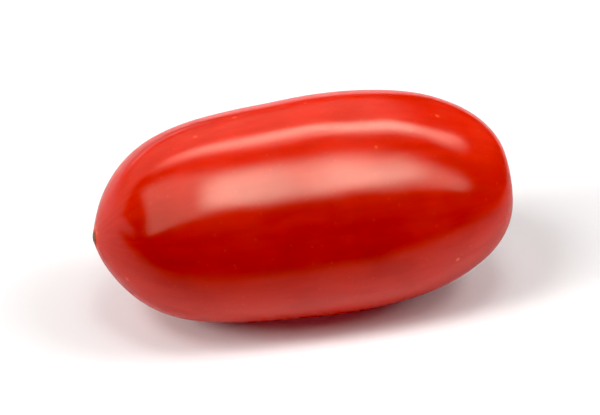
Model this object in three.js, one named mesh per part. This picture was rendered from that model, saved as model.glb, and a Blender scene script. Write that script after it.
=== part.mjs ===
// A baby plum tomato, picked without its calyx and lying on its side, as one solid.
// Millimetres, +Z up. +X runs along the fruit from the blossom tip to the stem end. The origin is on
// the surface that the fruit rests on, under the middle of its bounding box.
import * as THREE from "three";

// Driving dimensions
const LENGTH = 41.6; // of the outline, before the hollow takes its crown at the stem end
const DIAMETER = 21.4; // mean across the belly, the widest ring
const BELLY = 0.55 * LENGTH; // from the blossom tip to the belly
const REST_PRESS = 0.3; // how far the skin is pressed flat where it rests

// Outline: powers of the rounded ends, and how the blossom half narrows
const STEM_POWER = 2.4; // 2 is an ellipse, more is blunter
const TIP_FULLNESS = 5; // how far the blossom half keeps its width
const TIP_POINT = 1.4; // 2 is a round tip, less is more pointed
const TAPER = 0.125; // share of the width lost from belly to tip
const TAPER_BLEND = 0.12; // eases the taper in at the belly, as a share of the blossom half

// Seed chambers swell the skin into low rounded ridges
const CHAMBERS = 3;
const RIDGE_SHARE = 0.008; // of the radius, up and down
const RIDGE_TURN = THREE.MathUtils.degToRad(20); // of the first ridge, from straight up

// Hollow around the scar that the stem leaves
const HOLLOW_DEPTH = 0.9;
const HOLLOW_RADIUS = 2.6;

// Facets
const RINGS = 44;
const SIDES = 64;

// Radius at a distance along the fruit from its blossom tip.
function outlineRadius(along) {
  const belly = DIAMETER / 2;
  if (along >= BELLY) {
    const reach = Math.min((along - BELLY) / (LENGTH - BELLY), 1);
    return belly * (1 - reach ** STEM_POWER) ** (1 / STEM_POWER);
  }
  const reach = Math.min((BELLY - along) / BELLY, 1);
  const narrowing = TAPER * (Math.hypot(reach, TAPER_BLEND) - TAPER_BLEND);
  return belly * (1 - narrowing) * (1 - reach ** TIP_FULLNESS) ** (1 / TIP_POINT);
}

// The outline from tip to stem, with its rings closer together towards both ends.
function outline() {
  const points = [];
  for (let ring = 0; ring <= RINGS; ring++) {
    const along = (LENGTH * (1 - Math.cos((Math.PI * ring) / RINGS))) / 2;
    const onAxis = ring === 0 || ring === RINGS;
    points.push(new THREE.Vector2(onAxis ? 0 : outlineRadius(along), along));
  }
  return points;
}

// Gives a point of the turned body its ridges, and its hollow if it is near the stem.
function grow(point) {
  const radius = Math.hypot(point.y, point.z);
  const turn = Math.atan2(point.y, point.z);
  const swell = 1 + RIDGE_SHARE * Math.cos(CHAMBERS * (turn - RIDGE_TURN));
  const sink = point.x > BELLY ? HOLLOW_DEPTH * Math.exp(-((radius / HOLLOW_RADIUS) ** 2)) : 0;
  return point.set(point.x - sink, point.y * swell, point.z * swell);
}

// Runs a function over every vertex of a geometry.
function reshape(geometry, change) {
  const position = geometry.getAttribute("position");
  const point = new THREE.Vector3();
  for (let i = 0; i < position.count; i++) {
    change(point.fromBufferAttribute(position, i));
    position.setXYZ(i, point.x, point.y, point.z);
  }
  position.needsUpdate = true;
}

// Sets the fruit down on z = 0, centred, with the skin under that level pressed flat.
function setDown(geometry) {
  geometry.computeBoundingBox();
  const { min, max } = geometry.boundingBox;
  geometry.translate(-(min.x + max.x) / 2, -(min.y + max.y) / 2, -min.z - REST_PRESS);
  reshape(geometry, (point) => point.setZ(Math.max(point.z, 0)));
}

function tomatoGeometry() {
  const geometry = new THREE.LatheGeometry(outline(), SIDES);
  geometry.rotateZ(-Math.PI / 2); // the turning axis becomes +X
  reshape(geometry, grow);
  setDown(geometry);
  geometry.computeVertexNormals();
  return geometry;
}

const skin = new THREE.MeshStandardMaterial({ color: 0xb40a06, roughness: 0.22, metalness: 0 });

const tomato = new THREE.Mesh(tomatoGeometry(), skin);
tomato.name = "tomato";

const part = new THREE.Group();
part.add(tomato);

export default part;
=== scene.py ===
# A baby plum tomato with its skin and both scars, on a plain pale floor in soft studio light.
import math

import bpy
from bpy.props import FloatProperty, FloatVectorProperty, IntProperty, PointerProperty
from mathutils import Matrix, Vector


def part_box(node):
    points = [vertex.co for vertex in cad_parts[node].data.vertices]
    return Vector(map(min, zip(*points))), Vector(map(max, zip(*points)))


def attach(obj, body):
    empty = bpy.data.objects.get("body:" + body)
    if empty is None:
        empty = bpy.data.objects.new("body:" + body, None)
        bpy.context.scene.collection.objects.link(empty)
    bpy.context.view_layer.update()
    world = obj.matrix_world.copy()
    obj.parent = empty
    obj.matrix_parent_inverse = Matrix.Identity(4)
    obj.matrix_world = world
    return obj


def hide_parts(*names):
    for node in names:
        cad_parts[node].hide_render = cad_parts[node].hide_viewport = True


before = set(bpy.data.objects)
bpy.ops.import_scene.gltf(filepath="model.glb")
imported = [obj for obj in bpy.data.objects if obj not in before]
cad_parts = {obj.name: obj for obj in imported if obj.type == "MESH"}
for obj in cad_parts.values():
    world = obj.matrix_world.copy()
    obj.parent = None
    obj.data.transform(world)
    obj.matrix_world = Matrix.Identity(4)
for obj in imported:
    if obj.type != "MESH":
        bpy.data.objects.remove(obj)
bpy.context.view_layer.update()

bl_info = {
    "name": "Baby Plum Tomato",
    "version": (1, 0, 0),
    "blender": (4, 5, 0),
    "location": "View3D > Sidebar > Tomato",
    "description": "Makes a baby plum tomato over its measured solid, and a small studio around it",
    "category": "Add Mesh",
}

# Frame
NODE = "tomato"
BODY = "root"
CAD_LOW, CAD_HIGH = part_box(NODE)
CAD_SIZE = CAD_HIGH - CAD_LOW
CAD_MIDDLE = (CAD_LOW + CAD_HIGH) / 2

MM = 0.001


def length_property(name, description, default):
    return FloatProperty(name=name, description=description, default=default, unit="LENGTH")


def angle_property(name, description, degrees):
    return FloatProperty(
        name=name,
        description=description,
        default=math.radians(degrees),
        subtype="ANGLE",
        unit="ROTATION",
    )


def share_property(name, description, default):
    return FloatProperty(
        name=name,
        description=description,
        default=default,
        subtype="FACTOR",
        min=0.0,
        max=1.0,
    )


def number_property(name, description, default):
    return FloatProperty(name=name, description=description, default=default, min=0.0)


def count_property(name, description, default):
    return IntProperty(name=name, description=description, default=default, min=0)


def colour_property(name, description, default):
    return FloatVectorProperty(
        name=name,
        description=description,
        default=default,
        subtype="COLOR",
        min=0.0,
        max=1.0,
    )


class TomatoShape(bpy.types.PropertyGroup):
    """Sizes of the fruit. The outline's shares and powers are those of the measured solid."""

    size: FloatVectorProperty(
        name="Size",
        description="Length, width and height of the fruit as it lies",
        default=CAD_SIZE,
        subtype="XYZ_LENGTH",
        unit="LENGTH",
    )
    belly: share_property("Belly", "Widest ring, as a share of the length from the tip", 0.55)
    stem_power: number_property("Stem Bluntness", "Power of the stem end: above 2 is blunt", 2.4)
    tip_fullness: number_property("Tip Fullness", "Power that keeps the blossom half wide", 5.0)
    tip_point: number_property("Tip Roundness", "Root that closes the tip: below 2 is pointed", 1.4)
    taper: share_property("Taper", "Share of the width lost from the belly to the tip", 0.125)
    taper_blend: share_property("Taper Blend", "Share of the blossom half that eases the taper in", 0.12)
    chambers: count_property("Chambers", "Seed chambers, which swell the skin into low ridges", 3)
    ridge: share_property("Ridge", "Height of the ridges, as a share of the radius", 0.008)
    ridge_turn: angle_property("Ridge Turn", "Turn of the first ridge from straight up", 20.0)
    flute: share_property("Flute", "Height of the faint flutes, as a share of the radius", 0.004)
    unevenness: length_property("Unevenness", "Height of the slow swells of the skin", 0.24 * MM)
    swell_length: length_property("Swell Length", "Width of one slow swell of the skin", 13.0 * MM)
    ripple: length_property("Ripple", "Height of the finer ripples of the skin", 0.10 * MM)
    ripple_length: length_property("Ripple Length", "Width of one finer ripple", 5.0 * MM)
    press: length_property("Press", "How far the skin is pressed flat where the fruit rests", 0.3 * MM)
    hollow_depth: length_property("Hollow Depth", "Depth of the hollow around the stem scar", 0.9 * MM)
    hollow_radius: length_property("Hollow Radius", "Radius of that hollow", 2.6 * MM)
    stem_scar: length_property("Stem Scar", "Radius of the corky ring that the stem leaves", 1.2 * MM)
    creases: count_property("Creases", "Creases in the skin that run out from the stem scar", 9)
    crease_depth: length_property("Crease Depth", "Depth of the deepest of those creases", 0.14 * MM)
    tip_scar: length_property("Tip Scar", "Radius of the dry dot that the flower leaves", 0.6 * MM)
    sides: count_property("Sides", "Facets around the fruit", 280)
    rings: count_property("Rings", "Facets along the fruit", 320)


class TomatoFinish(bpy.types.PropertyGroup):
    """Colours of the skin and of the two scars."""

    deep_red: colour_property("Deep Red", "Darker red of the skin", (0.54, 0.0250, 0.0142))
    bright_red: colour_property("Bright Red", "Lighter red of the skin", (0.64, 0.0345, 0.0184))
    fleck: colour_property("Fleck", "Pale flecks and specks in the skin", (0.85, 0.16, 0.05))
    halo: colour_property("Halo", "Orange skin close around a scar", (0.74, 0.075, 0.018))
    cork: colour_property("Cork", "Dry cork of a scar", (0.46, 0.19, 0.105))
    dark_cork: colour_property("Dark Cork", "Darker grain of the cork", (0.20, 0.070, 0.042))
    pit: colour_property("Pit", "Dark middle of a scar", (0.15, 0.052, 0.036))


class TomatoStage(bpy.types.PropertyGroup):
    """Camera, lights and floor."""

    azimuth: angle_property("Azimuth", "Camera's turn from straight in front of the side", -14.6)
    elevation: angle_property("Elevation", "How far the camera looks down", 33.0)
    distance: length_property("Distance", "From the camera to the middle of the fruit", 0.65)
    view_width: length_property("View Width", "Width that the picture takes in at the fruit", 58.0 * MM)
    key_lamp: number_property("Key Lamp", "Irradiance of the fruit from above and before, in W/m2", 0.65)
    left_lamp: number_property("Left Lamp", "Irradiance of the fruit from the left, in W/m2", 1.3)
    right_lamp: number_property("Right Lamp", "Irradiance of the fruit from the right, in W/m2", 1.3)
    top_lamp: number_property("Top Lamp", "Irradiance of the fruit from above and behind, in W/m2", 2.75)
    lamp_spread: angle_property("Lamp Spread", "Angle that each of the fruit's lamps covers", 42.0)
    floor_lamp: number_property("Floor Lamps", "Irradiance of the floor by all its lamps, in W/m2", 4.5)
    floor_spread: angle_property("Floor Spread", "Angle that each of the floor's lamps covers", 20.0)
    flesh_glow: number_property("Flesh Glow", "Power of the light through the fruit, in W", 0.0008)
    front_panel: number_property("Front Panel", "Brightness of the ceiling's front panel in gloss", 7.2)
    wide_panel: number_property("Wide Panel", "Brightness of the wider panel around it", 2.8)
    back_panel: number_property("Back Panel", "Brightness of the narrow panel behind it", 11.8)
    panel_height: length_property("Panel Height", "Height of the ceiling's panels over the floor", 0.5)
    wall_light: number_property("Wall Light", "Brightness of the pale walls", 1.1)
    floor_colour: colour_property("Floor", "Floor's colour for the camera", (0.75, 0.747, 0.744))
    floor_bounce: colour_property("Floor Bounce", "Floor's colour in bounced light", (0.62, 0.62, 0.62))
    # Pinkish floor colour in gloss: painted red light thrown by the fruit, seen as a painted reflection
    # on its lower side
    floor_gloss_painted_red: colour_property("Floor Gloss", "Floor's colour in the fruit's gloss", (0.52, 0.38, 0.37))


class NodeDesk:
    """Adds nodes to a tree and joins them, so that a formula reads as one line for each step."""

    COLUMNS = 10
    STEP = 190

    def __init__(self, tree):
        self.tree = tree

    def add(self, kind, **settings):
        node = self.tree.nodes.new(kind)
        count = len(self.tree.nodes) - 1
        node.location = (self.STEP * (count % self.COLUMNS), -self.STEP * (count // self.COLUMNS))
        for name, value in settings.items():
            setattr(node, name, value)
        return node

    def feed(self, socket, value):
        """Joins another node's output to a socket, or sets the socket's own value."""
        if isinstance(value, bpy.types.NodeSocket):
            self.tree.links.new(value, socket)
        else:
            socket.default_value = value

    def math(self, operation, *values):
        node = self.add("ShaderNodeMath", operation=operation)
        for socket, value in zip(node.inputs, values):
            self.feed(socket, value)
        return node.outputs["Value"]

    def total(self, first, *others):
        for value in others:
            first = self.math("ADD", first, value)
        return first

    def less(self, first, second):
        return self.math("SUBTRACT", first, second)

    def product(self, first, *others):
        for value in others:
            first = self.math("MULTIPLY", first, value)
        return first

    def kept_between(self, value, low, high):
        return self.math("MINIMUM", self.math("MAXIMUM", value, low), high)

    def vector(self, operation, *values):
        node = self.add("ShaderNodeVectorMath", operation=operation)
        for socket, value in zip(node.inputs, values):
            self.feed(socket, value)
        return node.outputs["Vector"]

    def reach(self, place, axis):
        """How far a place or a direction goes along an axis."""
        node = self.add("ShaderNodeVectorMath", operation="DOT_PRODUCT")
        self.feed(node.inputs[0], place)
        self.feed(node.inputs[1], axis)
        return node.outputs["Value"]

    def parts(self, vector):
        node = self.add("ShaderNodeSeparateXYZ")
        self.feed(node.inputs["Vector"], vector)
        return node.outputs["X"], node.outputs["Y"], node.outputs["Z"]

    def joined(self, x, y, z):
        node = self.add("ShaderNodeCombineXYZ")
        for socket, value in zip(node.inputs, (x, y, z)):
            self.feed(socket, value)
        return node.outputs["Vector"]

    def ramp(self, value, start, end, low=0.0, high=1.0):
        """Goes smoothly from low at start to high at end."""
        node = self.add("ShaderNodeMapRange", interpolation_type="SMOOTHSTEP")
        inputs = ("Value", "From Min", "From Max", "To Min", "To Max")
        for name, setting in zip(inputs, (value, start, end, low, high)):
            self.feed(node.inputs[name], setting)
        return node.outputs["Result"]

    def fall(self, value, start, end):
        """Goes smoothly from 1 at start to 0 at end."""
        return self.ramp(value, start, end, 1.0, 0.0)

    def bell(self, distance, width):
        """A smooth bump, 1 where distance is 0."""
        share = self.math("DIVIDE", distance, width)
        return self.math("EXPONENT", self.product(share, share, -1.0))

    def ring(self, distance, middle, width):
        """A smooth bump, 1 where distance is middle."""
        return self.bell(self.less(distance, middle), width)

    def mix(self, factor, first, second):
        """Mixes two colours."""
        node = self.add("ShaderNodeMix", data_type="RGBA")
        names = ("Factor_Float", "A_Color", "B_Color")
        sockets = {socket.identifier: socket for socket in node.inputs}
        for name, value in zip(names, (factor, first, second)):
            self.feed(sockets[name], value)
        return next(socket for socket in node.outputs if socket.identifier == "Result_Color")

    def noise(self, place, size, detail=2.0):
        """Smooth noise around 0.5, with swells of about the given size."""
        node = self.add("ShaderNodeTexNoise")
        self.feed(node.inputs["Vector"], place)
        self.feed(node.inputs["Scale"], self.math("DIVIDE", 1.0, size))
        self.feed(node.inputs["Detail"], detail)
        return node.outputs["Fac"]

    def wander(self, place, size, span, detail=2.0):
        """Smooth noise around 0, over about the given span."""
        return self.product(self.less(self.noise(place, size, detail), 0.5), span)


# Attributes that the fruit's mesh carries for its material, and how far the other half counts as away
STEM_DISTANCE = "stem_distance"
TIP_DISTANCE = "tip_distance"
MERIDIAN = "meridian"
FAR_AWAY = 1.0

# Rings crowd towards the stem scar: 0 spaces them evenly, and 1 would close up the last ones
RING_CROWDING = 0.92

# Flutes run along the fruit: how wide one is, in radians, and how much slower they change along it
FLUTE_WIDTH = 0.45
MERIDIAN_STRETCH = 0.9

# Stem scar: places and widths in radii of the scar, angles in radians. A crease's strength goes by
# noise: from where to where, and the strength at each.
CREASE_PLACE = 2.1
CREASE_REACH = 0.85
CREASE_NARROWNESS = 0.38
CREASE_WANDER = 1.6
CREASE_PATCH = 0.8
CREASE_STRENGTHS = (0.40, 0.62, 0.15, 1.0)
RIM_WIDTH = 0.24
RIM_HEIGHT = 0.10 * MM
STEM_PIT_WIDTH = 0.75
STEM_PIT_DEPTH = 0.30 * MM
NUB_WIDTH = 0.30
NUB_HEIGHT = 0.22 * MM

# Blossom scar: widths in radii of the scar
MOUND_HEIGHT = 0.12 * MM
TIP_PIT_WIDTH = 0.45
TIP_PIT_DEPTH = 0.15 * MM


def shape_inputs(tree):
    """Gives the tree a named input for each property of the shape, and returns them by property name."""
    kinds = {"FLOAT": "NodeSocketFloat", "INT": "NodeSocketInt"}
    sockets = {}
    for prop in TomatoShape.bl_rna.properties:
        if prop.type not in kinds:
            continue
        kind = "NodeSocketVector" if prop.is_array else kinds[prop.type]
        sockets[prop.identifier] = tree.interface.new_socket(prop.name, in_out="INPUT", socket_type=kind)
    return sockets


def outline_radius(desk, along, given):
    """Radius of the outline, from 0 to 1, at a share of the length from the blossom tip."""
    belly = given["Belly"]
    stem_reach = desk.math("DIVIDE", desk.less(along, belly), desk.less(1.0, belly))
    stem_reach = desk.kept_between(stem_reach, 0.0, 1.0)
    tip_reach = desk.math("DIVIDE", desk.less(belly, along), belly)
    tip_reach = desk.kept_between(tip_reach, 0.0, 1.0)

    stem_fall = desk.less(1.0, desk.math("POWER", stem_reach, given["Stem Bluntness"]))
    stem_round = desk.math("POWER", stem_fall, desk.math("DIVIDE", 1.0, given["Stem Bluntness"]))
    tip_fall = desk.less(1.0, desk.math("POWER", tip_reach, given["Tip Fullness"]))
    tip_round = desk.math("POWER", tip_fall, desk.math("DIVIDE", 1.0, given["Tip Roundness"]))

    blend = given["Taper Blend"]
    eased = desk.math("SQRT", desk.total(desk.product(tip_reach, tip_reach), desk.product(blend, blend)))
    narrowing = desk.product(given["Taper"], desk.less(eased, blend))
    return desk.product(stem_round, tip_round, desk.less(1.0, narrowing))


def crease_depth(desk, radius, turn, around, given):
    """Depth of the creases around the stem scar, which are uneven in place, depth and length."""
    bent_turn = desk.total(turn, desk.wander(around, CREASE_PATCH, CREASE_WANDER))
    # The sine of half the angle is 0 once for each crease
    wave = desk.math("SINE", desk.product(bent_turn, given["Creases"], 0.5))
    valley = desk.bell(wave, CREASE_NARROWNESS)
    other_side = desk.vector("MULTIPLY", around, (-1.0, -1.0, -1.0))
    strength = desk.ramp(desk.noise(other_side, CREASE_PATCH), *CREASE_STRENGTHS)
    place = desk.product(given["Stem Scar"], CREASE_PLACE)
    reach = desk.ring(radius, place, desk.product(given["Stem Scar"], CREASE_REACH))
    return desk.product(valley, strength, reach, given["Crease Depth"])


def stem_relief(desk, radius, turn, around, given):
    """Height of the stem end over its outline: hollow, creases, and the scar's rim, pit and nub."""
    scar = given["Stem Scar"]
    hollow = desk.product(desk.bell(radius, given["Hollow Radius"]), given["Hollow Depth"])
    creases = crease_depth(desk, radius, turn, around, given)
    rim = desk.product(desk.ring(radius, scar, desk.product(scar, RIM_WIDTH)), RIM_HEIGHT)
    pit = desk.product(desk.bell(radius, desk.product(scar, STEM_PIT_WIDTH)), STEM_PIT_DEPTH)
    nub = desk.product(desk.bell(radius, desk.product(scar, NUB_WIDTH)), NUB_HEIGHT)
    return desk.less(desk.total(rim, nub), desk.total(hollow, creases, pit))


def tip_relief(desk, radius, given):
    """Height of the blossom tip over its outline: a low mound with a pit in it."""
    scar = given["Tip Scar"]
    mound = desk.product(desk.bell(radius, scar), MOUND_HEIGHT)
    pit = desk.product(desk.bell(radius, desk.product(scar, TIP_PIT_WIDTH)), TIP_PIT_DEPTH)
    return desk.less(mound, pit)


def marked(desk, geometry, name, kind, value):
    """Stores a value under a name at every point."""
    node = desk.add("GeometryNodeStoreNamedAttribute", data_type=kind, domain="POINT")
    desk.feed(node.inputs["Geometry"], geometry)
    desk.feed(node.inputs["Name"], name)
    desk.feed(node.inputs["Value"], value)
    return node.outputs["Geometry"]


def moved(desk, geometry, socket, value):
    """Sets the Position of every point, or moves it by an Offset."""
    node = desk.add("GeometryNodeSetPosition")
    desk.feed(node.inputs["Geometry"], geometry)
    desk.feed(node.inputs[socket], value)
    return node.outputs["Geometry"]


def grown(desk, given):
    """A ball grown into the fruit's outline, with ridges and scars, along +X from the blossom tip."""
    ball = desk.add("GeometryNodeMeshUVSphere")
    desk.feed(ball.inputs["Segments"], given["Sides"])
    desk.feed(ball.inputs["Rings"], given["Rings"])
    across, sideways, upright = desk.parts(desk.add("GeometryNodeInputPosition").outputs["Position"])
    length, width, _ = desk.parts(given["Size"])

    # Share of the length from the tip, with rings crowded at the stem scar, and turn from straight up
    climb = desk.product(desk.total(upright, 1.0), 0.5)
    crowding = desk.product(climb, desk.less(1.0, climb), RING_CROWDING)
    along = desk.total(climb, crowding)
    turn = desk.math("ARCTAN2", sideways, desk.product(across, -1.0))
    side_share = desk.math("SINE", turn)
    top_share = desk.math("COSINE", turn)
    around = desk.joined(0.0, side_share, top_share)
    meridian = desk.joined(desk.product(along, MERIDIAN_STRETCH), side_share, top_share)

    # Outline with its ridges and flutes
    ridge_angle = desk.product(desk.less(turn, given["Ridge Turn"]), given["Chambers"])
    ridges = desk.product(desk.math("COSINE", ridge_angle), given["Ridge"])
    flutes = desk.wander(meridian, FLUTE_WIDTH, given["Flute"], detail=0.0)
    swell = desk.total(1.0, ridges, flutes)
    radius = desk.product(width, 0.5, outline_radius(desk, along, given), swell)

    # Relief of the two ends
    stem_side = desk.math("GREATER_THAN", along, given["Belly"])
    tip_side = desk.less(1.0, stem_side)
    stem_height = desk.product(stem_side, stem_relief(desk, radius, turn, around, given))
    tip_height = desk.product(tip_side, tip_relief(desk, radius, given))
    x = desk.less(desk.total(desk.product(along, length), stem_height), tip_height)
    place = desk.joined(x, desk.product(radius, side_share), desk.product(radius, top_share))

    geometry = ball.outputs["Mesh"]
    stem_distance = desk.total(radius, desk.product(tip_side, FAR_AWAY))
    tip_distance = desk.total(radius, desk.product(stem_side, FAR_AWAY))
    geometry = marked(desk, geometry, STEM_DISTANCE, "FLOAT", stem_distance)
    geometry = marked(desk, geometry, TIP_DISTANCE, "FLOAT", tip_distance)
    geometry = marked(desk, geometry, MERIDIAN, "FLOAT_VECTOR", meridian)
    return moved(desk, geometry, "Position", place)


def swelled(desk, geometry, given):
    """Moves the skin along its own normal in slow swells and finer ripples."""
    place = desk.add("GeometryNodeInputPosition").outputs["Position"]
    normal = desk.add("GeometryNodeInputNormal").outputs["Normal"]
    swells = desk.wander(place, given["Swell Length"], given["Unevenness"], detail=1.0)
    ripples = desk.wander(place, given["Ripple Length"], given["Ripple"], detail=0.0)
    lift = desk.total(swells, ripples)
    offset = desk.vector("MULTIPLY", normal, desk.joined(lift, lift, lift))
    return moved(desk, geometry, "Offset", offset)


def set_down(desk, geometry, given):
    """Fits the fruit to its stated size, sinks it by the press, and presses flat what is under z = 0."""
    box = desk.add("GeometryNodeBoundBox")
    desk.feed(box.inputs["Geometry"], geometry)
    extent = desk.vector("SUBTRACT", box.outputs["Max"], box.outputs["Min"])
    corners = desk.vector("ADD", box.outputs["Max"], box.outputs["Min"])
    middle = desk.vector("MULTIPLY", corners, (0.5, 0.5, 0.5))
    length, width, height = desk.parts(given["Size"])
    full_size = desk.joined(length, width, desk.total(height, given["Press"]))

    place = desk.add("GeometryNodeInputPosition").outputs["Position"]
    from_middle = desk.vector("SUBTRACT", place, middle)
    fitted = desk.vector("MULTIPLY", from_middle, desk.vector("DIVIDE", full_size, extent))
    x, y, z = desk.parts(fitted)
    axis_height = desk.product(desk.less(height, given["Press"]), 0.5)
    pressed = desk.math("MAXIMUM", desk.total(z, axis_height), 0.0)
    return moved(desk, geometry, "Position", desk.joined(x, y, pressed))


def shape_tree():
    """Node tree that grows the fruit by the rule of its outline and sets it down on z = 0."""
    tree = bpy.data.node_groups.new("Tomato Shape", "GeometryNodeTree")
    sockets = shape_inputs(tree)
    skin_socket = tree.interface.new_socket("Skin", in_out="INPUT", socket_type="NodeSocketMaterial")
    tree.interface.new_socket("Geometry", in_out="OUTPUT", socket_type="NodeSocketGeometry")
    desk = NodeDesk(tree)
    given = desk.add("NodeGroupInput").outputs
    fruit = set_down(desk, swelled(desk, grown(desk, given), given), given)
    smooth = desk.add("GeometryNodeSetShadeSmooth")
    desk.feed(smooth.inputs["Geometry"], fruit)
    realized = desk.add("GeometryNodeRealizeInstances")
    desk.feed(realized.inputs["Geometry"], smooth.outputs["Geometry"])
    dressed = desk.add("GeometryNodeSetMaterial")
    desk.feed(dressed.inputs["Geometry"], realized.outputs["Geometry"])
    desk.feed(dressed.inputs["Material"], given["Skin"])
    desk.feed(desk.add("NodeGroupOutput").inputs["Geometry"], dressed.outputs["Geometry"])
    return tree, sockets, skin_socket


def grown_mesh(shape, skin):
    """Evaluates the shape tree once and returns its result as a plain mesh."""
    tree, sockets, skin_socket = shape_tree()
    seed = bpy.data.objects.new("tomato_seed", bpy.data.meshes.new("tomato_seed"))
    bpy.context.scene.collection.objects.link(seed)
    modifier = seed.modifiers.new("Tomato Shape", "NODES")
    modifier.node_group = tree
    for name, socket in sockets.items():
        modifier[socket.identifier] = getattr(shape, name)
    modifier[skin_socket.identifier] = skin
    graph = bpy.context.evaluated_depsgraph_get()
    mesh = bpy.data.meshes.new_from_object(seed.evaluated_get(graph), depsgraph=graph)
    bpy.data.objects.remove(seed)
    return mesh


# Red of the skin: mottles, streaks along the fruit, and where between deep and bright the tone lies
MOTTLE_SIZE = 6.0 * MM
STREAK_WIDTH = 0.13
STREAK_SHARE = 0.4
TONE_SPAN = (0.36, 0.64)

# Pale spots: spacing, share of the cells that hold one, edge in shares of the spacing, and strength
FLECKS = (0.9 * MM, 0.45, (0.10, 0.22), 0.16)
SPECKS = (4.2 * MM, 0.80, (0.03, 0.07), 0.55)
SHOULDER_SPAN = (4.0 * MM, 9.5 * MM)
FLECKS_BELOW_SHOULDER = 0.55

# Scars: edges in radii of the scar
HALO_EDGE = (1.2, 3.0)
HALO_STRENGTH = 0.5
CORK_EDGE = (1.05, 1.35)
PIT_EDGE = (0.22, 0.60)
SCAR_WANDER_SIZE = 0.7 * MM
SCAR_WANDER_SPAN = 0.6 * MM
CORK_GRAIN = 0.16 * MM
CORK_RAY_WIDTH = 0.30
CORK_RAY_SHARE = 0.45
CORK_GRAIN_SPAN = (0.40, 0.62)
TORN_EDGE = 1.12
TORN_EDGE_WIDTH = 0.16
TORN_EDGE_STRENGTH = 0.75

# Gloss and fine relief
HAZE_SIZE = 2.4 * MM
HAZE_SPAN = (0.25, 0.75)
SKIN_ROUGHNESS = (0.11, 0.16)
CORK_ROUGHNESS = 0.55
PEEL_SIZE = 1.1 * MM
PEEL_HEIGHT = 0.004 * MM
CORK_HEIGHT = 0.09 * MM

# Light inside the flesh: red goes far, green and blue do not
FLESH_DEPTH = 6.0 * MM
FLESH_DEPTH_SHARES = (1.0, 0.15, 0.08)
SKIN_IOR = 1.52


def colour(value):
    """A colour property as a shader socket takes it."""
    return (*value, 1.0)


def new_material(name):
    """A material with an empty node tree, and the desk for it."""
    material = bpy.data.materials.new(name)
    material.use_nodes = True
    material.node_tree.nodes.clear()
    return material, NodeDesk(material.node_tree)


def attribute(desk, name, output):
    return desk.add("ShaderNodeAttribute", attribute_name=name).outputs[output]


def pale_spots(desk, place, spacing, share, edge, strength):
    """Small round spots, one to a cell, in a share of the cells."""
    cells = desk.add("ShaderNodeTexVoronoi", feature="F1")
    desk.feed(cells.inputs["Vector"], place)
    desk.feed(cells.inputs["Scale"], 1.0 / spacing)
    chance = desk.parts(cells.outputs["Color"])[0]
    chosen = desk.math("LESS_THAN", chance, share)
    spot = desk.fall(cells.outputs["Distance"], *edge)
    return desk.product(chosen, spot, strength)


def skin_red(desk, place, stem, finish):
    """Red with soft mottles, faint streaks along the fruit, and pale spots, denser by the stem."""
    mottles = desk.product(desk.noise(place, MOTTLE_SIZE, detail=3.0), 1.0 - STREAK_SHARE)
    streaks = desk.product(desk.noise(attribute(desk, MERIDIAN, "Vector"), STREAK_WIDTH), STREAK_SHARE)
    tone = desk.ramp(desk.total(mottles, streaks), *TONE_SPAN)
    red = desk.mix(tone, colour(finish.deep_red), colour(finish.bright_red))
    density = desk.ramp(stem, *SHOULDER_SPAN, 1.0, FLECKS_BELOW_SHOULDER)
    flecks = desk.product(pale_spots(desk, place, *FLECKS), density)
    spots = desk.math("MAXIMUM", flecks, pale_spots(desk, place, *SPECKS))
    return desk.mix(spots, red, colour(finish.fleck))


def cork_grain(desk, place):
    """Grain of dry cork: small lumps, and rays that run out from the middle."""
    lumps = desk.product(desk.noise(place, CORK_GRAIN, detail=3.0), 1.0 - CORK_RAY_SHARE)
    rays = desk.product(desk.noise(attribute(desk, MERIDIAN, "Vector"), CORK_RAY_WIDTH), CORK_RAY_SHARE)
    return desk.ramp(desk.total(lumps, rays), *CORK_GRAIN_SPAN)


def scarred(desk, skin, grain, place, distance, size, finish):
    """Skin that turns orange near a scar and cork on it, with a torn edge and a dark pit.

    Also returns the share of cork.
    """
    edge = desk.total(distance, desk.wander(place, SCAR_WANDER_SIZE, SCAR_WANDER_SPAN))
    radii = desk.math("DIVIDE", edge, size)
    skin = desk.mix(desk.product(desk.fall(radii, *HALO_EDGE), HALO_STRENGTH), skin, colour(finish.halo))
    cork = desk.mix(grain, colour(finish.cork), colour(finish.dark_cork))
    torn = desk.product(desk.ring(radii, TORN_EDGE, TORN_EDGE_WIDTH), TORN_EDGE_STRENGTH)
    cork = desk.mix(torn, cork, colour(finish.dark_cork))
    cork = desk.mix(desk.fall(radii, *PIT_EDGE), cork, colour(finish.pit))
    cork_share = desk.fall(radii, *CORK_EDGE)
    return desk.mix(cork_share, skin, cork), cork_share


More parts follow.
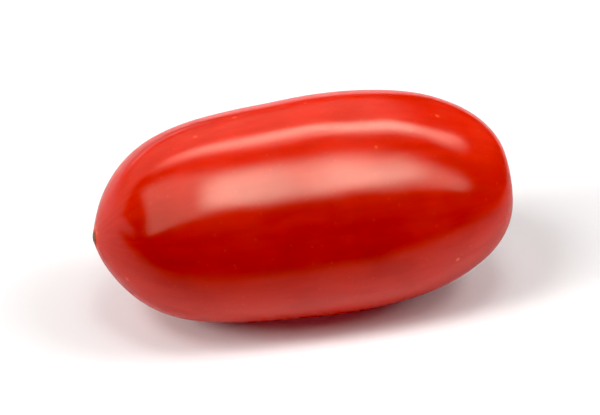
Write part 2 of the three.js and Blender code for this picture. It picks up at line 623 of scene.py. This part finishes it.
def skin_material(shape, finish):
    """Glossy red skin over flesh that lets light in, which turns to dull cork at its two scars."""
    material, desk = new_material("tomato_skin")
    place = desk.add("ShaderNodeTexCoord").outputs["Object"]
    stem = attribute(desk, STEM_DISTANCE, "Fac")
    tip = attribute(desk, TIP_DISTANCE, "Fac")
    skin = skin_red(desk, place, stem, finish)
    grain = cork_grain(desk, place)
    skin, stem_cork = scarred(desk, skin, grain, place, stem, shape.stem_scar, finish)
    skin, tip_cork = scarred(desk, skin, grain, place, tip, shape.tip_scar, finish)
    cork = desk.math("MAXIMUM", stem_cork, tip_cork)

    haze = desk.ramp(desk.noise(place, HAZE_SIZE), *HAZE_SPAN, *SKIN_ROUGHNESS)
    roughness = desk.total(haze, desk.product(cork, CORK_ROUGHNESS))
    peel = desk.product(desk.noise(place, PEEL_SIZE), PEEL_HEIGHT)
    cork_relief = desk.product(desk.less(1.0, grain), cork, CORK_HEIGHT)
    bump = desk.add("ShaderNodeBump")
    desk.feed(bump.inputs["Distance"], 1.0)
    desk.feed(bump.inputs["Height"], desk.total(peel, cork_relief))

    surface = desk.add("ShaderNodeBsdfPrincipled")
    desk.feed(surface.inputs["Base Color"], skin)
    desk.feed(surface.inputs["Roughness"], roughness)
    desk.feed(surface.inputs["IOR"], SKIN_IOR)
    desk.feed(surface.inputs["Subsurface Weight"], desk.less(1.0, cork))
    desk.feed(surface.inputs["Subsurface Radius"], FLESH_DEPTH_SHARES)
    desk.feed(surface.inputs["Subsurface Scale"], FLESH_DEPTH)
    desk.feed(surface.inputs["Normal"], bump.outputs["Normal"])
    desk.feed(desk.add("ShaderNodeOutputMaterial").inputs["Surface"], surface.outputs["BSDF"])
    return material


def camera_axes(stage):
    """Unit vectors to the camera's right, towards it along the floor, and towards it through the air."""
    right = Vector((math.cos(stage.azimuth), math.sin(stage.azimuth), 0.0))
    near = Vector((math.sin(stage.azimuth), -math.cos(stage.azimuth), 0.0))
    back = near * math.cos(stage.elevation) + Vector((0.0, 0.0, math.sin(stage.elevation)))
    return right, near, back


def make_camera(stage):
    """The camera, aimed at the middle of the fruit."""
    back = camera_axes(stage)[2]
    data = bpy.data.cameras.new("camera")
    data.lens = data.sensor_width * stage.distance / stage.view_width
    camera = bpy.data.objects.new("camera", data)
    camera.location = CAD_MIDDLE + back * stage.distance
    camera.rotation_euler = back.to_track_quat("Z", "Y").to_euler()
    bpy.context.scene.collection.objects.link(camera)
    bpy.context.scene.camera = camera


def flat_sheet(name, half, height, material):
    """A level square sheet that belongs to the stage."""
    mesh = bpy.data.meshes.new(name)
    signs = ((-1, -1), (1, -1), (1, 1), (-1, 1))
    corners = [(x * half, y * half, height) for x, y in signs]
    mesh.from_pydata(corners, [], [(0, 1, 2, 3)])
    mesh.materials.append(material)
    sheet = bpy.data.objects.new(name, mesh)
    bpy.context.scene.collection.objects.link(sheet)
    return sheet


# Floor: half its side, and how far from the fruit gloss still sees it, nearward and to the right
FLOOR_HALF = 6.0
# Past these fades the floor is painted black to gloss: painted shade, seen as a dark reflection on the
# fruit
FLOOR_NEAR_FADE = (10.0 * MM, 36.0 * MM)
FLOOR_RIGHT_FADE = (24.0 * MM, 70.0 * MM)
UNLIT = (0.0, 0.0, 0.0, 1.0)


def floor_paper(stage):
    """Pale matt paper, dimmer for the fruit than for the camera. Gloss sees only the stretch close by."""
    material, desk = new_material("floor_paper")
    right, near, _ = camera_axes(stage)
    place = desk.add("ShaderNodeTexCoord").outputs["Object"]
    near_fade = desk.fall(desk.reach(place, near), *FLOOR_NEAR_FADE)
    right_fade = desk.fall(desk.reach(place, right), *FLOOR_RIGHT_FADE)
    # Gloss sees the floor pinkish close by (painted red light) and black beyond (painted shade): a
    # painted reflection on the fruit
    gloss_floor_painted = desk.mix(desk.product(near_fade, right_fade), UNLIT, colour(stage.floor_gloss_painted_red))
    path = desk.add("ShaderNodeLightPath").outputs
    by_fruit = desk.mix(path["Is Glossy Ray"], colour(stage.floor_bounce), gloss_floor_painted)
    seen = desk.mix(path["Is Camera Ray"], by_fruit, colour(stage.floor_colour))
    surface = desk.add("ShaderNodeBsdfDiffuse")
    desk.feed(surface.inputs["Color"], seen)
    desk.feed(desk.add("ShaderNodeOutputMaterial").inputs["Surface"], surface.outputs["BSDF"])
    return material


# Ceiling: half its side. The panels' places are shares of its height from straight over the fruit,
# across to the right of the camera and nearward to it. A pair is where a soft edge starts and ends.
# A dimming also has the share of light at its start and at its end.
CEILING_HALF = 3.0
PANEL_COLOUR = (1.0, 0.79, 0.63)

# Wide panel: its left and right edges are shares of a ray's lean sideways
WIDE_NEAR_EDGE = (0.70, 1.06)
WIDE_FAR_EDGE = (-0.12, 0.20)
WIDE_FAR_SLANT = 0.12
WIDE_OPENS_FROM = 0.2
WIDE_OPENS_NEARWARD = 0.48
WIDE_LEFT_EDGE = (-0.88, -0.78)
WIDE_RIGHT_EDGE = (0.88, 0.98)
WIDE_DIMMING = (-0.6, 0.4, 0.72, 1.0)

# Front panel: its far edge comes nearward on both sides of a middle, and a joint slants across it
FRONT_LEFT_EDGE = (-0.38, 0.04)
FRONT_RIGHT_EDGE = (0.45, 1.30)
FRONT_FAR_EDGE = (-0.13, 0.31)
FRONT_FAR_MIDDLE = 0.15
FRONT_FAR_BOW = 0.38
FRONT_NEAR_EDGE = (0.60, 1.00)
FRONT_NEAR_SLANT = 0.18
JOINT_ACROSS = 0.12
JOINT_SLANT = 0.28
JOINT_WIDTH = 0.05
JOINT_DEPTH = 0.6

# Back panel, and the dim stretch beyond it as a share of its brightness
BACK_FAR_EDGE = (-0.78, -0.50)
BACK_NEAR_EDGE = (-0.56, -0.26)
BACK_BENDS_FROM = 0.4
BACK_BEND = 0.25
BACK_LEFT_EDGE = (-1.30, 0.75)
BACK_RIGHT_EDGE = (0.75, 1.5)
BACK_DIMMING = (0.36, 0.64, 1.0, 0.42)
DIM_SHARE = 0.052
DIM_FADE = (-5.0, -1.0)
DIM_RIGHT_EDGE = (0.15, 0.7)


def wide_panel(desk, across, nearward, side):
    """Wide panel, which opens out nearward and dims to the left. Side is the ray's lean sideways."""
    opening = desk.math("MINIMUM", desk.less(across, WIDE_OPENS_FROM), 0.0)
    near_place = desk.total(nearward, desk.product(opening, WIDE_OPENS_NEARWARD))
    far_place = desk.less(nearward, desk.product(across, WIDE_FAR_SLANT))
    depth = desk.product(desk.fall(near_place, *WIDE_NEAR_EDGE), desk.ramp(far_place, *WIDE_FAR_EDGE))
    width = desk.product(desk.ramp(side, *WIDE_LEFT_EDGE), desk.fall(side, *WIDE_RIGHT_EDGE))
    return desk.product(depth, width, desk.ramp(across, *WIDE_DIMMING))


def front_panel(desk, across, nearward):
    """Bright middle of the wide panel, with a faint joint in it."""
    from_middle = desk.math("ABSOLUTE", desk.less(across, FRONT_FAR_MIDDLE))
    far_place = desk.less(nearward, desk.product(from_middle, FRONT_FAR_BOW))
    near_place = desk.total(nearward, desk.product(across, FRONT_NEAR_SLANT))
    depth = desk.product(desk.ramp(far_place, *FRONT_FAR_EDGE), desk.fall(near_place, *FRONT_NEAR_EDGE))
    width = desk.product(desk.ramp(across, *FRONT_LEFT_EDGE), desk.fall(across, *FRONT_RIGHT_EDGE))
    joint_place = desk.total(desk.product(nearward, JOINT_SLANT), JOINT_ACROSS)
    joint = desk.product(desk.ring(across, joint_place, JOINT_WIDTH), JOINT_DEPTH)
    return desk.product(depth, width, desk.less(1.0, joint))


def back_panel(desk, across, nearward):
    """Narrow panel behind, which widens to the right and fades to the left, and a dim stretch beyond."""
    bend = desk.math("MAXIMUM", desk.less(across, BACK_BENDS_FROM), 0.0)
    far_place = desk.total(nearward, desk.product(bend, BACK_BEND))
    depth = desk.product(desk.ramp(far_place, *BACK_FAR_EDGE), desk.fall(nearward, *BACK_NEAR_EDGE))
    width = desk.product(desk.ramp(across, *BACK_LEFT_EDGE), desk.fall(across, *BACK_RIGHT_EDGE))
    panel = desk.product(depth, width, desk.ramp(across, *BACK_DIMMING))
    beyond = desk.product(desk.fall(far_place, *BACK_FAR_EDGE), desk.ramp(nearward, *DIM_FADE))
    dim_stretch = desk.product(beyond, desk.fall(across, *DIM_RIGHT_EDGE), DIM_SHARE)
    return desk.total(panel, dim_stretch)


def ceiling_light(stage):
    """The ceiling's glow, with all its panels."""
    material, desk = new_material("ceiling_light")
    right, near, _ = camera_axes(stage)
    place = desk.add("ShaderNodeTexCoord").outputs["Object"]
    across = desk.math("DIVIDE", desk.reach(place, right), stage.panel_height)
    nearward = desk.math("DIVIDE", desk.reach(place, near), stage.panel_height)
    side = desk.reach(desk.vector("NORMALIZE", place), right)
    wide = desk.product(wide_panel(desk, across, nearward, side), stage.wide_panel)
    front = desk.product(front_panel(desk, across, nearward), stage.front_panel)
    back = desk.product(back_panel(desk, across, nearward), stage.back_panel)
    light = desk.add("ShaderNodeEmission")
    desk.feed(light.inputs["Color"], colour(PANEL_COLOUR))
    desk.feed(light.inputs["Strength"], desk.total(wide, front, back))
    desk.feed(desk.add("ShaderNodeOutputMaterial").inputs["Surface"], light.outputs["Emission"])
    return material


def make_ceiling(stage):
    """A lit ceiling that only the fruit's gloss sees."""
    ceiling = flat_sheet("ceiling", CEILING_HALF, stage.panel_height, ceiling_light(stage))
    ceiling.visible_camera = False
    ceiling.visible_diffuse = False
    ceiling.visible_transmission = False
    ceiling.visible_volume_scatter = False
    ceiling.visible_shadow = False


# Lamps for the fruit: how far each leans from overhead, towards the camera and to its right
KEY_LEAN = (math.radians(20.0), math.radians(8.0))
LEFT_LEAN = (math.radians(-30.0), math.radians(-68.0))
RIGHT_LEAN = (math.radians(8.0), math.radians(50.0))
TOP_LEAN = (math.radians(-17.0), 0.0)

# Lamps for the floor: for each its lean along the fruit, its lean to the fruit's front side, in
# degrees, and its share of the light
FLOOR_LAMPS = (
    (-60.0, 20.0, 0.25),
    (-32.0, 15.0, 0.25),
    (0.0, 13.0, 0.20),
    (32.0, 15.5, 0.18),
    (60.0, 22.0, 0.12),
)
ALONG = Vector((1.0, 0.0, 0.0))
FRONT = Vector((0.0, -1.0, 0.0))
UP = Vector((0.0, 0.0, 1.0))

# Light that has passed through the flesh
GLOW_COLOUR = (1.0, 0.26, 0.30)
GLOW_RADIUS = 4.0 * MM


def add_lamp(data, lit):
    """Places a lamp that lights some objects only and doesn't show in gloss."""
    lamp = bpy.data.objects.new(data.name, data)
    lamp.visible_glossy = False
    lamp.light_linking.receiver_collection = lit
    bpy.context.scene.collection.objects.link(lamp)
    return lamp


def far_lamp(name, towards, strength, spread, lit):
    """A far soft lamp in a direction."""
    data = bpy.data.lights.new(name, "SUN")
    data.energy = strength
    data.angle = spread
    lamp = add_lamp(data, lit)
    lamp.rotation_euler = towards.to_track_quat("Z", "Y").to_euler()


def fruit_lamps(stage, lit):
    """Four soft lamps around and over the fruit."""
    right, near, _ = camera_axes(stage)
    lamps = (
        ("key_lamp", KEY_LEAN, stage.key_lamp),
        ("left_lamp", LEFT_LEAN, stage.left_lamp),
        ("right_lamp", RIGHT_LEAN, stage.right_lamp),
        ("top_lamp", TOP_LEAN, stage.top_lamp),
    )
    for name, (near_lean, right_lean), strength in lamps:
        towards = near * math.tan(near_lean) + right * math.tan(right_lean) + UP
        far_lamp(name, towards, strength, stage.lamp_spread, lit)


def floor_lamps(stage, lit):
    """A row of lamps along the fruit, whose shadow is soft at the fruit's ends."""
    for along_lean, front_lean, share in FLOOR_LAMPS:
        along = ALONG * math.tan(math.radians(along_lean))
        towards = along + FRONT * math.tan(math.radians(front_lean)) + UP
        strength = stage.floor_lamp * share / towards.normalized().z
        far_lamp("floor_lamp", towards, strength, stage.floor_spread, lit)


def flesh_glow(stage, lit):
    """Red light that passes through the flesh and tints the floor under the fruit."""
    data = bpy.data.lights.new("flesh_glow", "POINT")
    data.energy = stage.flesh_glow
    data.color = GLOW_COLOUR
    data.shadow_soft_size = GLOW_RADIUS
    data.use_shadow = False
    glow = add_lamp(data, lit)
    glow.location = CAD_MIDDLE


def make_lamps(stage, floor):
    """Lamps for the fruit, and others for the floor, which the fruit shades."""
    floor_only = bpy.data.collections.new("floor_only")
    floor_only.objects.link(floor)
    not_floor = bpy.data.collections.new("not_floor")
    not_floor.objects.link(floor)
    not_floor.collection_objects[0].light_linking.link_state = "EXCLUDE"
    fruit_lamps(stage, not_floor)
    floor_lamps(stage, floor_only)
    flesh_glow(stage, floor_only)


# Room, by the direction that it is seen in: shares to the right, towards the camera and up.
# A pair is where a soft edge starts and ends. The back wall's foot climbs to the right, from one
# height to another.
FOOT_CLIMB = (-0.30, 0.35, 0.06, 0.50)
FOOT_EDGE = (-0.08, 0.10)
BACK_WALL_DEPTH = (0.0, -0.4)
BACK_WALL_TOP = (0.7, 0.9)
BACK_WALL_LEFT = (-0.8, -0.5)
LEFT_WALL_SIDE = (-0.55, -0.85)
LEFT_WALL_TOP = (0.10, 0.34)
LEFT_WALL_DEPTH = (0.10, 0.45)
LEFT_WALL_SHARE = 0.6


def make_room(stage):
    """Pale walls on the left and high at the back, dark elsewhere, and plain white for the camera."""
    world = bpy.data.worlds.new("room")
    world.use_nodes = True
    world.node_tree.nodes.clear()
    bpy.context.scene.world = world
    desk = NodeDesk(world.node_tree)
    right, near, _ = camera_axes(stage)
    direction = desk.add("ShaderNodeTexCoord").outputs["Generated"]
    rightward = desk.reach(direction, right)
    nearward = desk.reach(direction, near)
    upward = desk.parts(direction)[2]
    foot = desk.ramp(desk.less(upward, desk.ramp(rightward, *FOOT_CLIMB)), *FOOT_EDGE)
    back_side = desk.product(desk.ramp(nearward, *BACK_WALL_DEPTH), desk.ramp(rightward, *BACK_WALL_LEFT))
    back_wall = desk.product(foot, back_side, desk.fall(upward, *BACK_WALL_TOP))
    left_side = desk.product(desk.ramp(rightward, *LEFT_WALL_SIDE), desk.fall(nearward, *LEFT_WALL_DEPTH))
    left_wall = desk.product(left_side, desk.fall(upward, *LEFT_WALL_TOP), LEFT_WALL_SHARE)
    walls = desk.product(desk.math("MAXIMUM", back_wall, left_wall), stage.wall_light)
    to_camera = desk.add("ShaderNodeLightPath").outputs["Is Camera Ray"]
    to_fruit = desk.less(1.0, to_camera)
    seen = desk.total(to_camera, desk.product(walls, to_fruit))
    background = desk.add("ShaderNodeBackground")
    desk.feed(background.inputs["Strength"], seen)
    desk.feed(desk.add("ShaderNodeOutputWorld").inputs["Surface"], background.outputs["Background"])


BLACK_LEVEL = 0.018


def set_tone(scene):
    """Plain colour response, with the blacks set a little down."""
    view = scene.view_settings
    view.view_transform = "Standard"
    view.use_curve_mapping = True
    view.curve_mapping.black_level = (BLACK_LEVEL, BLACK_LEVEL, BLACK_LEVEL)
    view.curve_mapping.update()


class TOMATO_OT_fruit(bpy.types.Operator):
    """Makes the fruit, with its skin and both scars, over the measured solid"""

    bl_idname = "tomato.fruit"
    bl_label = "Make Tomato"

    def execute(self, context):
        shape = context.scene.tomato_shape
        mesh = grown_mesh(shape, skin_material(shape, context.scene.tomato_finish))
        mesh.name = "tomato_fruit"
        fruit = bpy.data.objects.new("tomato_fruit", mesh)
        context.scene.collection.objects.link(fruit)
        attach(fruit, BODY)
        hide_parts(NODE)
        return {"FINISHED"}


class TOMATO_OT_stage(bpy.types.Operator):
    """Makes the camera, the floor, the ceiling, the lamps and the room"""

    bl_idname = "tomato.stage"
    bl_label = "Make Stage"

    def execute(self, context):
        stage = context.scene.tomato_stage
        make_camera(stage)
        floor = flat_sheet("floor", FLOOR_HALF, 0.0, floor_paper(stage))
        make_ceiling(stage)
        make_lamps(stage, floor)
        make_room(stage)
        set_tone(context.scene)
        return {"FINISHED"}


class TOMATO_PT_panel(bpy.types.Panel):
    """Lists what makes the tomato and its stage"""

    bl_idname = "TOMATO_PT_panel"
    bl_label = "Baby Plum Tomato"
    bl_space_type = "VIEW_3D"
    bl_region_type = "UI"
    bl_category = "Tomato"

    def draw(self, context):
        scene = context.scene
        for group in (scene.tomato_shape, scene.tomato_finish, scene.tomato_stage):
            box = self.layout.box()
            for name in group.__annotations__:
                box.prop(group, name)
        self.layout.operator(TOMATO_OT_fruit.bl_idname)
        self.layout.operator(TOMATO_OT_stage.bl_idname)


CLASSES = (TomatoShape, TomatoFinish, TomatoStage, TOMATO_OT_fruit, TOMATO_OT_stage, TOMATO_PT_panel)


def register():
    for cls in CLASSES:
        bpy.utils.register_class(cls)
    bpy.types.Scene.tomato_shape = PointerProperty(type=TomatoShape)
    bpy.types.Scene.tomato_finish = PointerProperty(type=TomatoFinish)
    bpy.types.Scene.tomato_stage = PointerProperty(type=TomatoStage)


def unregister():
    del bpy.types.Scene.tomato_stage
    del bpy.types.Scene.tomato_finish
    del bpy.types.Scene.tomato_shape
    for cls in reversed(CLASSES):
        bpy.utils.unregister_class(cls)


def main():
    register()
    bpy.ops.tomato.fruit()
    bpy.ops.tomato.stage()


if __name__ == "__main__":
    main()
